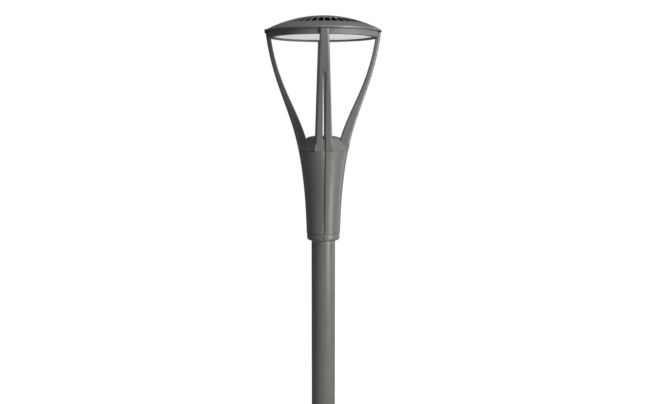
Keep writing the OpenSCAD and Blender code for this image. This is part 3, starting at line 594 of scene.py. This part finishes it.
def mouth_tool(name, z0, z1, floor, mouth, depth, open_below=False):
    """Tool for a groove or slot mouth that follows an arm's outer line, with sloped walls."""
    over = 0.02
    n = 16
    a, b = (z0 if open_below else z0 + depth), z1 - depth
    inner = [(radius_at(arm_outer, a + (b - a) * i / n) - depth, a + (b - a) * i / n)
             for i in range(n + 1)]
    below = (radius_at(arm_outer, z0) + over, z0 if open_below else z0 - over)
    above = (radius_at(arm_outer, z1) + over, z1 + over)
    side = [(r, -mouth, z) for r, z in inner + [above, below]]
    tool = slab(name, side, (0, mouth - floor, 0), (0, 2 * floor, 0), (0, mouth - floor, 0))
    edit(tool)
    pick_points(tool, lambda p: abs(p.y) > mouth - 1e-5
                and p.x < radius_at(arm_outer, p.z) - depth / 2)
    bpy.ops.transform.translate(value=(depth, 0, 0))
    edit_done()
    return tool


def slot_tool():
    """Tool for the slot right through an arm, with round ends."""
    half = 0.005
    ends = []
    for z, first in ((slot_high - half, 0), (slot_low + half, 180)):
        for i in range(9):
            a = math.radians(first + i * 22.5)
            ends.append((0.02, half * math.cos(a), z + half * math.sin(a)))
    return slab("slot_tool", ends, (0.4, 0, 0))


def half_width(z):
    for (z0, w0), (z1, w1) in zip(arm_widths, arm_widths[1:]):
        if z <= z1:
            return w0 + (w1 - w0) * (z - z0) / (z1 - z0)
    return arm_widths[-1][1]


def make_arm():
    arm = arm_blank("arm")

    def long_edge(outside):
        def test(a, b):
            if a.y * b.y < 0 or abs(a.z - b.z) < 0.001:
                return False
            for p in (a, b):
                middle = (radius_at(arm_outer, p.z) + radius_at(arm_inner, p.z)) / 2
                if abs(p.y) < half_width(p.z) - 1e-4 or (p.x > middle) != outside:
                    return False
            return True
        return test

    edit(arm)
    pick_edges(arm, long_edge(True))
    bpy.ops.mesh.bevel(offset=0.0095, segments=6, profile=0.5, affect="EDGES", clamp_overlap=False)
    pick_edges(arm, long_edge(False))
    bpy.ops.mesh.bevel(offset=0.005, segments=3, profile=0.5, affect="EDGES", clamp_overlap=False)
    edit_done()
    cut(arm, peg("band_tool", band_r + 0.0002, 0.2, (0, 0, band_z - 0.0002 + 0.1), sides=192))
    cut(arm, slot_tool())
    cut(arm, mouth_tool("slot_mouth_tool", slot_low - 0.002, slot_high + 0.004,
                        floor=0.0005, mouth=0.009, depth=0.009))
    cut(arm, mouth_tool("groove_tool", foot_z - 0.01, foot_z + 0.070,
                        floor=groove_half, mouth=0.0105, depth=0.005, open_below=True))
    smooth_edges(arm, 0.0005)
    return arm


arm = make_arm()
for name, degrees in (("right", 0), ("rear", 90), ("left", 180), ("front", 270)):
    piece = copy_turned(arm, "arm_" + name + "_casting", degrees)
    mount(piece, "post", "casting_paint", casting_coat, "arm_" + name)
bpy.data.objects.remove(arm)


# ---------------------------------------------------------------- the shoulder between them

shoulder_top = foot_z + 0.071
steep = foot_r - 0.034
dome = ((steep, shoulder_top - 0.016), (steep - 0.008, shoulder_top - 0.004),
        (0.040, shoulder_top), (0.0, shoulder_top))
section = [(0.0, foot_z), (foot_r - 0.0015, foot_z), (foot_r - 0.0004, foot_z + 0.0005),
           (foot_r, foot_z + 0.0015)]
section += [on_curve(dome, i / 14) for i in range(15)]
shoulder = turned("shoulder", section)
for degrees in (0, 90, 180, 270):
    tool = arm_blank("arm_seat_tool", 0.0008)
    seat = copy_turned(tool, "arm_seat_tool", degrees)
    bpy.data.objects.remove(tool)
    cut(shoulder, seat)
smooth_edges(shoulder, 0.0005)
mount(shoulder, "post", "casting_paint", casting_coat, "hub_casting")


# ---------------------------------------------------------------- the housing's panels

def cone_r(z):
    t = (z - housing_z) / (housing_top - housing_z)
    return housing_r + 0.014 * t + 0.024 * max(0.0, t) ** 2.6


def make_panel(name):
    """The quarter of the conical housing between +X and +Y, hollowed behind."""
    n = 28
    zs = [housing_z + (housing_top - housing_z) * i / n for i in range(n + 1)]
    section = [(cone_r(z), z) for z in zs] + [(cone_r(z) - panel_wall, z) for z in reversed(zs)]
    panel = turned(name, section, 144)
    edit(panel)
    for co, no in (((groove_half, 0, 0), (1, 0, 0)), ((0, groove_half, 0), (0, 1, 0))):
        bpy.ops.mesh.select_all(action="SELECT")
        bpy.ops.mesh.bisect(plane_co=co, plane_no=no, use_fill=True, clear_inner=True)
    pick_faces(panel, lambda c, n: math.hypot(c.x, c.y) < cone_r(c.z) - 0.007
               and n.x * c.x + n.y * c.y < -0.02)
    bpy.ops.mesh.inset(thickness=0.006)
    bpy.ops.transform.shrink_fatten(value=-0.0058)

    def groove_edge(a, b):
        if abs(a.z - b.z) < 0.001:
            return False
        for k in ("x", "y"):
            if all(abs(getattr(p, k) - groove_half) < 1e-5
                   and math.hypot(p.x, p.y) > cone_r(p.z) - 0.0005 for p in (a, b)):
                return True
        return False

    pick_edges(panel, groove_edge)
    bpy.ops.mesh.bevel(offset=groove_slope, segments=1, affect="EDGES", clamp_overlap=False)
    edit_done()
    return panel


panel = make_panel("panel")
for name, degrees in (("rear_left", 90), ("front_left", 180), ("front_right", 270)):
    piece = copy_turned(panel, "housing_panel_" + name, degrees)
    smooth_edges(piece, 0.0005)
    mount(piece, "post", "housing_paint", housing_coat, "panel_" + name)
bpy.data.objects.remove(panel)


# ---------------------------------------------------------------- the collar

round_r = 0.013
collar_r = 0.0785
bore_r = 0.0463
section = [(bore_r, collar_z)]
section += [(collar_r - round_r * (1 - math.sin(a)), collar_z + round_r * (1 - math.cos(a)))
            for a in (math.radians(9 * i) for i in range(11))]
section += [(collar_r, collar_top - 0.0012), (collar_r - 0.0012, collar_top), (bore_r, collar_top)]
collar = turned("collar", section)
for degrees in (-90, 30, 150):
    a = math.radians(degrees)
    way = (math.cos(a), math.sin(a), 0)
    cut(collar, peg("set_screw_tool", 0.0045, 0.05,
                    (way[0] * 0.0775, way[1] * 0.0775, collar_z + 0.018), way, 40))
lugs = []
lug_r, lug_line, lug_bore, lug_width, lug_root = 0.0035, 0.084, 0.00155, 0.0096, 0.006
for across in (-0.024, 0.0144):
    middle = (lug_line, across + lug_width / 2, collar_top)
    lug = block("gear_hinge_lug", (collar_r - lug_root, across, collar_top - lug_root),
                (lug_line - collar_r + lug_root, lug_width, 0.0055))
    cut(lug, peg("gear_hinge_barrel", lug_r, lug_width, middle, (0, 1, 0)), "UNION")
    cut(lug, peg("pin_tool", lug_bore, 0.03, middle, (0, 1, 0)))
    lugs.append(copy_turned(lug, "gear_hinge_lug", 45))
    bpy.data.objects.remove(lug)
lugs = joined(lugs)
lugs.name = lugs.data.name = "gear_hinge_lugs"
smooth_edges(lugs, 0.0003)
mount(lugs, "post", "casting_paint", casting_coat)
smooth_edges(collar, 0.0004)
mount(collar, "post", "casting_paint", casting_coat, "collar_ring")


# ---------------------------------------------------------------- the rim band and the lens

section = [(lip_in, band_z + 0.0012), (lip_in + 0.0012, band_z), (band_r - 0.0025, band_z),
           (band_r - 0.0007, band_z + 0.0007), (band_r, band_z + 0.0025),
           (band_r, band_top - 0.0015), (band_r - 0.0015, band_top), (band_in, band_top),
           (band_in, lip_top), (lip_in, lip_top)]
band = turned("rim_band_casting", section, 192)
smooth_edges(band, 0.0003)
post = peg("band_post", 0.006, band_top - lip_top, (band_r - 0.0095, 0, (band_top + lip_top) / 2))
smooth_edges(post, 0.0005)
posts = ring_of(post, "rim_band_posts", 8, 33.75)
mount(posts, "post", "casting_paint", band_coat)
mount(band, "post", "casting_paint", band_coat, "rim_band")

lens_low, lens_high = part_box("lens")
lens_r = lens_high.x
section = [(0.0, lens_low.z), (lens_r - 0.0008, lens_low.z), (lens_r, lens_low.z + 0.0008),
           (lens_r, lens_high.z - 0.0008), (lens_r - 0.0008, lens_high.z), (0.0, lens_high.z)]
lens = turned("opal_lens_disc", section, 160)
smooth_edges(lens, 0)
mount(lens, "post", "opal_lens", opal, "lens")


# ---------------------------------------------------------------- the canopy

edge_z = canopy_z + 0.0016
rise = dome_top - edge_z
dome_r = (canopy_r ** 2 + rise ** 2) / 2 / rise
dome_z = dome_top - dome_r
wall = 0.003


def dome_at(r, inset=0.0):
    return dome_z + math.sqrt((dome_r - inset) ** 2 - r * r)


inner_r = math.sqrt((dome_r - wall) ** 2 - (canopy_z - dome_z) ** 2)
section = [(canopy_r * i / 32, dome_at(canopy_r * i / 32)) for i in range(32)]
lip_z = canopy_z - 0.005
lip_wall = 0.0025
section += [(canopy_r - 0.0012, edge_z + 0.0002), (canopy_r - 0.0003, edge_z - 0.0006),
            (canopy_r, edge_z - 0.0018), (canopy_r, lip_z + 0.0008), (canopy_r - 0.0008, lip_z),
            (canopy_r - lip_wall, lip_z), (canopy_r - lip_wall, canopy_z)]
section += [(inner_r * i / 16, dome_at(inner_r * i / 16, wall)) for i in range(16, -1, -1)]
canopy = turned("canopy_dome", section, 160)

vents = 40
r0, r1, bar = 0.147, 0.219, 0.0062
spread = math.tan(math.pi / vents)
h0, h1 = r0 * spread - bar / 2, r1 * spread - bar / 2
wedge = slab("vent_tool", [(r0, -h0, canopy_z + 0.008), (r1, -h1, canopy_z + 0.008),
                           (r1, h1, canopy_z + 0.008), (r0, h0, canopy_z + 0.008)], (0, 0, 0.08))
edit(wedge)
pick_edges(wedge, lambda a, b: abs(a.z - b.z) > 0.01)
bpy.ops.mesh.bevel(offset=0.0018, segments=3, affect="EDGES")
edit_done()
cut(canopy, ring_of(wedge, "vent_tools", vents, 180 / vents))
notch = 0.016
cut(canopy, block("hinge_notch_tool", (-0.4, -notch, canopy_z - 0.1),
                  (0.4 - band_r + 0.001, 2 * notch, 0.3)))
lock_at = (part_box("canopy_lock")[0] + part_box("canopy_lock")[1]) / 2


def lock_seat_tool():
    """Tool for the round recess that the lock's head sits in."""
    return peg("lock_tool", 0.005, 0.1, (lock_at.x, 0, canopy_z - 0.002 + 0.05))


cut(canopy, lock_seat_tool())
smooth_edges(canopy, 0.0004)
mount(canopy, "canopy", "canopy_paint", canopy_coat, "canopy")

tab = slab("canopy_latch_tab", [(band_r + 0.001, -0.009, canopy_z - 0.0055),
                                (canopy_r - 0.002, -0.009, canopy_z - 0.0055),
                                (canopy_r - 0.002, -0.009, dome_at(canopy_r - 0.002, 0.001)),
                                (band_r + 0.001, -0.009, dome_at(band_r + 0.001, 0.001))],
           (0, 0.018, 0))
cut(tab, lock_seat_tool())
cut(tab, peg("lock_tool", 0.00255, 0.2, (lock_at.x, 0, canopy_z)))
smooth_edges(tab, 0.0004)
mount(tab, "canopy", "canopy_paint", canopy_coat)


# ---------------------------------------------------------------- the pole and its foot

def door_tool(shrink):
    w, h = door_half - shrink, door_h - 2 * shrink
    return block("door_tool", (-w, 0.01, door_z + shrink), (2 * w, 0.1, h), door_round - shrink,
                 lambda a, b: abs(a.y - b.y) > 0.05)


section = [(pole_r - pole_wall, plate_top), (pole_r, plate_top), (pole_r, pole_top),
           (pole_r - pole_wall, pole_top)]
pole = turned("pole", section, 144)
cut(pole, door_tool(0))
smooth_edges(pole, 0.0004)
mount(pole, "post", "pole_paint", pole_coat, "pole_tube", "pole_base")

plate = block("foot_plate", (-plate_half, -plate_half, ground),
              (2 * plate_half, 2 * plate_half, plate_top), 0.015,
              lambda a, b: abs(a.z - b.z) > 0.01)
cut(plate, peg("cable_hole_tool", cable_hole_r, 0.1, (0, 0, 0.01), sides=96))
for x in (-anchor_at, anchor_at):
    for y in (-anchor_at, anchor_at):
        cut(plate, peg("anchor_hole_tool", anchor_hole_r, 0.1, (x, y, 0.01), sides=48))
smooth_edges(plate, 0.0012, 3)
mount(plate, "post", "plate_paint", plate_coat, "base_plate")

leg = high("foot_weld").x - pole_r
section = [(pole_r, plate_top), (pole_r + leg, plate_top)]
section += [(pole_r + leg * (1 - math.sin(a)) + 0.0009 * math.sin(2 * a),
             plate_top + leg * (1 - math.cos(a)) + 0.0009 * math.sin(2 * a))
            for a in (math.radians(15 * i) for i in range(1, 6))]
section += [(pole_r, plate_top + leg)]
weld = turned("foot_weld_bead", section, 160)
smooth_edges(weld, 0)
mount(weld, "post", "plate_paint", plate_coat, "foot_weld")


# ---------------------------------------------------------------- floor, light and camera

def emitting(tree, colour, strength):
    n = tree.nodes.new("ShaderNodeEmission")
    n.inputs["Color"].default_value = (*colour, 1)
    n.inputs["Strength"].default_value = strength
    return n


pick_nothing()
bpy.ops.mesh.primitive_plane_add(size=80, location=(0, 0, -0.0005))
floor = bpy.context.object
floor.name = "studio_floor"
floor_finish = bpy.data.materials.new("pale_floor")
floor_finish.use_nodes = True
tree = floor_finish.node_tree
tree.nodes.clear()
out = tree.nodes.new("ShaderNodeOutputMaterial")
matt = tree.nodes.new("ShaderNodeBsdfDiffuse")
matt.inputs["Color"].default_value = (0.8, 0.8, 0.8, 1)
glow = emitting(tree, (1, 1, 1), 0.95)
seen = tree.nodes.new("ShaderNodeLightPath")
dim = tree.nodes.new("ShaderNodeMixShader")
both = tree.nodes.new("ShaderNodeAddShader")
tree.links.new(seen.outputs["Is Camera Ray"], dim.inputs[0])
tree.links.new(matt.outputs[0], both.inputs[0])
tree.links.new(glow.outputs[0], both.inputs[1])
tree.links.new(matt.outputs[0], dim.inputs[1])
tree.links.new(both.outputs[0], dim.inputs[2])
tree.links.new(dim.outputs[0], out.inputs[0])
floor.data.materials.append(floor_finish)

world = bpy.data.worlds.new("studio")
bpy.context.scene.world = world
world.use_nodes = True
tree = world.node_tree
tree.nodes.clear()
out = tree.nodes.new("ShaderNodeOutputWorld")
seen = tree.nodes.new("ShaderNodeLightPath")
shown = tree.nodes.new("ShaderNodeBackground")
shown.inputs["Strength"].default_value = 1.0
shown.inputs["Color"].default_value = (1, 1, 1, 1)
room = tree.nodes.new("ShaderNodeBackground")
room.inputs["Strength"].default_value = 0.16
room.inputs["Color"].default_value = (1, 1, 1, 1)
choose = tree.nodes.new("ShaderNodeMixShader")
tree.links.new(seen.outputs["Is Camera Ray"], choose.inputs[0])
tree.links.new(room.outputs[0], choose.inputs[1])
tree.links.new(shown.outputs[0], choose.inputs[2])
tree.links.new(choose.outputs[0], out.inputs[0])


def softbox(name, degrees, distance, height, size, power, aim=3.5):
    """An area light; degrees are counted from the front towards the right."""
    a = math.radians(degrees)
    at = Vector((distance * math.sin(a), -distance * math.cos(a), height))
    turn = (Vector((0, 0, aim)) - at).to_track_quat("-Z", "Y").to_euler()
    bpy.ops.object.light_add(type="AREA", location=at, rotation=turn)
    light = bpy.context.object
    light.name = name
    light.data.shape = "RECTANGLE"
    light.data.size, light.data.size_y = size
    light.data.energy = power
    light.visible_camera = False


softbox("key_softbox", 48, 4.2, 4.1, (1.2, 3.2), 300)
softbox("back_right_softbox", 122, 4.0, 3.8, (1.6, 3.2), 24)
softbox("left_fill_softbox", -75, 5.0, 4.0, (1.5, 3.0), 13)
softbox("top_softbox", 20, 1.6, 6.6, (2.6, 2.6), 72, 3.9)

camera_way = math.radians(-1.2)
camera_at = Vector((4.33 * math.sin(camera_way), -4.33 * math.cos(camera_way), 3.624))
aim = Vector((0.0010, 0, 3.1826))
bpy.ops.object.camera_add(location=camera_at,
                          rotation=(aim - camera_at).to_track_quat("-Z", "Y").to_euler())
camera = bpy.context.object
camera.name = "camera"
camera.data.lens = 50.4
camera.data.sensor_width = 36
bpy.context.scene.camera = camera
